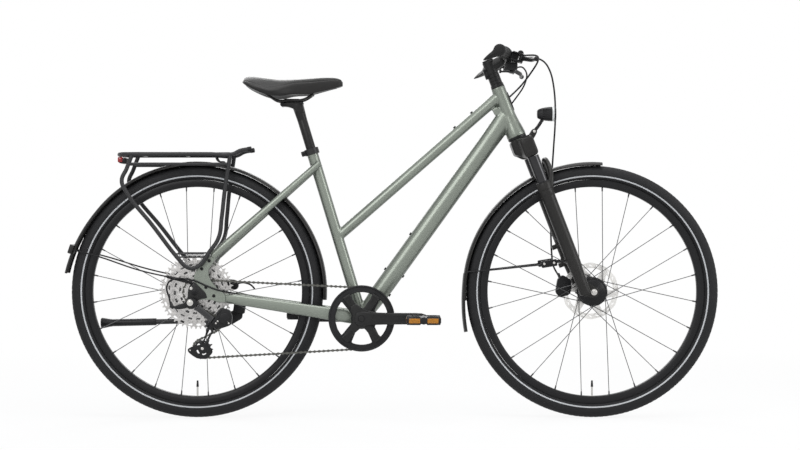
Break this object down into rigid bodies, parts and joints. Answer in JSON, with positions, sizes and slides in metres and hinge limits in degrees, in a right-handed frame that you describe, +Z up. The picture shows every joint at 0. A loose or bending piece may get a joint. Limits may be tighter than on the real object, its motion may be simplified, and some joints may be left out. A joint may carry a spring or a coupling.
{
  "type": "city bike",
  "caption": "City bike with a low sloping double-tube frame, sprung fork, disc brakes, derailleur gears, mudguards, rear rack, lights and kickstand.",
  "frame": {"origin": "on the ground below the middle of the bike, midway between its rear and front ends", "axes": "+X towards the front wheel, +Y to the rider's left, +Z up; the chain is on the -Y side"},
  "size_m": [1.8333, 0.626, 1.0368],
  "materials": {
    "frame_paint": "satin metallic sage grey",
    "black_paint": "satin black",
    "black_plastic": "black",
    "black_metal": "black anodised",
    "dark_chrome": "dark chrome",
    "steel": "bright",
    "chain_steel": "grey",
    "tyre_rubber": "black with a reflective stripe",
    "grip_rubber": "black",
    "cover": "soft black cover",
    "red_lens": "red"
  },
  "bodies": {
    "frame": {"main_frame": "frame_paint", "rear_triangle": "frame_paint", "seat_clamp": "black_metal", "headset_cup": "black_metal", "rear_rack": "black_paint", "tail_light": "red_lens", "rear_mudguard": "black_plastic", "kickstand_mount": "black_plastic", "rear_caliper": "black_metal", "rear_axle": "steel", "derailleur_body": "black_plastic", "derailleur_cable": "black_plastic", "rear_brake_hose": "black_plastic", "shift_cable": "black_plastic", "chain": "chain_steel"},
    "steering": {"fork_crown": "black_paint", "fork_stanchion_right": "dark_chrome", "fork_stanchion_left": "dark_chrome", "stem": "black_paint", "handlebar": "black_paint", "grip_right": "grip_rubber", "grip_left": "grip_rubber", "brake_perch_right": "black_metal", "brake_perch_left": "black_metal", "shifter_body": "black_plastic", "bell": "black_metal", "front_brake_hose": "black_plastic"},
    "fork_legs": {"fork_lowers": "black_paint", "front_mudguard": "black_plastic", "front_caliper": "black_metal", "front_axle": "steel"},
    "front_wheel": {"front_hub": "black_metal", "front_rim": "black_paint", "front_tyre": "tyre_rubber", "front_rotor": "steel"},
    "headlamp": {"headlight": "black_plastic"},
    "right_lever": {"brake_lever_right": "black_metal"},
    "left_lever": {"brake_lever_left": "black_metal"},
    "shifter_paddle": {"shift_lever": "black_plastic"},
    "rear_wheel": {"rear_hub": "black_metal", "rear_rim": "black_paint", "rear_tyre": "tyre_rubber", "rear_rotor": "steel"},
    "gears": {"cassette": "steel"},
    "cranks": {"crank_right": "black_metal", "crank_left": "black_metal", "chainring": "black_metal", "chain_guard": "black_plastic"},
    "right_pedal": {"pedal_right": "black_plastic"},
    "left_pedal": {"pedal_left": "black_plastic"},
    "outer_link": {"derailleur_outer_link": "black_metal"},
    "inner_link": {"derailleur_inner_link": "black_metal"},
    "knuckle": {"derailleur_knuckle": "black_plastic"},
    "cage": {"derailleur_cage": "black_metal"},
    "upper_pulley": {"guide_pulley": "black_plastic"},
    "lower_pulley": {"tension_pulley": "black_plastic"},
    "stand": {"kickstand_leg": "black_metal"},
    "seat": {"seatpost": "black_metal", "saddle_rails": "black_metal", "saddle_cover": "cover"}
  },
  "joints": [
    {"name": "steering_turn", "type": "hinge", "parent": "frame", "child": "steering", "pos_m": [0.3542, 0, 0.78765], "axis": [-0.3584, 0, 0.9336], "range_deg": [-60, 60], "deforming": ["rear_brake_hose", "shift_cable"]},
    {"name": "fork_travel", "type": "slide", "parent": "steering", "child": "fork_legs", "axis": [-0.3584, 0, 0.9336], "range_m": [0, 0.055], "stiffness_N_per_m": 6000, "springref_m": -0.04, "deforming": ["front_brake_hose"]},
    {"name": "front_wheel_spin", "type": "hinge", "parent": "fork_legs", "child": "front_wheel", "pos_m": [0.5655, 0, 0.353], "axis": [0, 1, 0], "continuous": true},
    {"name": "headlight_tilt", "type": "hinge", "parent": "steering", "child": "headlamp", "pos_m": [0.40307, 0, 0.80266], "axis": [0, 1, 0], "range_deg": [-15, 20]},
    {"name": "brake_lever_right_pull", "type": "hinge", "parent": "steering", "child": "right_lever", "pos_m": [0.35541, -0.178, 0.99102], "axis": [0.3261, 0, 0.9453], "range_deg": [-18, 0], "stiffness_Nm_per_rad": 0.8, "springref_deg": 20.05},
    {"name": "brake_lever_left_pull", "type": "hinge", "parent": "steering", "child": "left_lever", "pos_m": [0.35541, 0.178, 0.99102], "axis": [0.3261, 0, 0.9453], "range_deg": [0, 18], "stiffness_Nm_per_rad": 0.8, "springref_deg": -20.05},
    {"name": "shift_lever_push", "type": "hinge", "parent": "steering", "child": "shifter_paddle", "pos_m": [0.33341, -0.125, 0.95871], "axis": [0, 0, 1], "range_deg": [0, 20], "stiffness_Nm_per_rad": 0.15, "springref_deg": -22.92},
    {"name": "rear_wheel_spin", "type": "hinge", "parent": "frame", "child": "rear_wheel", "pos_m": [-0.5425, 0, 0.353], "axis": [0, 1, 0], "continuous": true},
    {"name": "crank_spin", "type": "hinge", "parent": "frame", "child": "cranks", "pos_m": [-0.0805, 0, 0.28], "axis": [0, 1, 0], "continuous": true, "deforming": ["chain"]},
    {"name": "pedal_right_spin", "type": "hinge", "parent": "cranks", "child": "right_pedal", "pos_m": [0.0905, 0, 0.28], "axis": [0, 1, 0], "continuous": true},
    {"name": "pedal_left_spin", "type": "hinge", "parent": "cranks", "child": "left_pedal", "pos_m": [-0.2515, 0, 0.28], "axis": [0, 1, 0], "continuous": true},
    {"name": "cassette_spin", "type": "hinge", "parent": "frame", "child": "gears", "pos_m": [-0.5425, 0, 0.353], "axis": [0, 1, 0], "continuous": true},
    {"name": "derailleur_shift", "type": "hinge", "parent": "frame", "child": "outer_link", "pos_m": [-0.5345, -0.089, 0.312], "axis": [0.6476, 0, 0.7619], "range_deg": [-12, 12]},
    {"name": "derailleur_inner_turn", "type": "hinge", "parent": "frame", "child": "inner_link", "pos_m": [-0.5345, -0.079, 0.312], "axis": [0.6476, 0, 0.7619], "range_deg": [-12, 12]},
    {"name": "derailleur_knuckle_turn", "type": "hinge", "parent": "outer_link", "child": "knuckle", "pos_m": [-0.4945, -0.079, 0.278], "axis": [0.6476, 0, 0.7619], "range_deg": [-12, 12]},
    {"name": "cage_pivot", "type": "hinge", "parent": "knuckle", "child": "cage", "pos_m": [-0.494, 0, 0.2642], "axis": [0, 1, 0], "range_deg": [-35, 15], "stiffness_Nm_per_rad": 1.5},
    {"name": "guide_pulley_spin", "type": "hinge", "parent": "cage", "child": "upper_pulley", "pos_m": [-0.494, 0, 0.2642], "axis": [0, 1, 0], "continuous": true},
    {"name": "tension_pulley_spin", "type": "hinge", "parent": "cage", "child": "lower_pulley", "pos_m": [-0.52319, 0, 0.19598], "axis": [0, 1, 0], "continuous": true},
    {"name": "kickstand_swing", "type": "hinge", "parent": "frame", "child": "stand", "pos_m": [-0.4615, 0.08, 0.2686], "axis": [0, 1, 0], "range_deg": [-47, 0]},
    {"name": "seatpost_height", "type": "slide", "parent": "frame", "child": "seat", "axis": [-0.2897, 0, 0.9571], "range_m": [-0.08, 0.035]}
  ],
  "couplings": [
    {"joint": "cassette_spin", "follows": "crank_spin", "ratio": 2.4706},
    {"joint": "guide_pulley_spin", "follows": "crank_spin", "ratio": -3.8182},
    {"joint": "tension_pulley_spin", "follows": "crank_spin", "ratio": 3.2308},
    {"joint": "derailleur_inner_turn", "follows": "derailleur_shift", "ratio": 1},
    {"joint": "derailleur_knuckle_turn", "follows": "derailleur_shift", "ratio": -1}
  ]
}
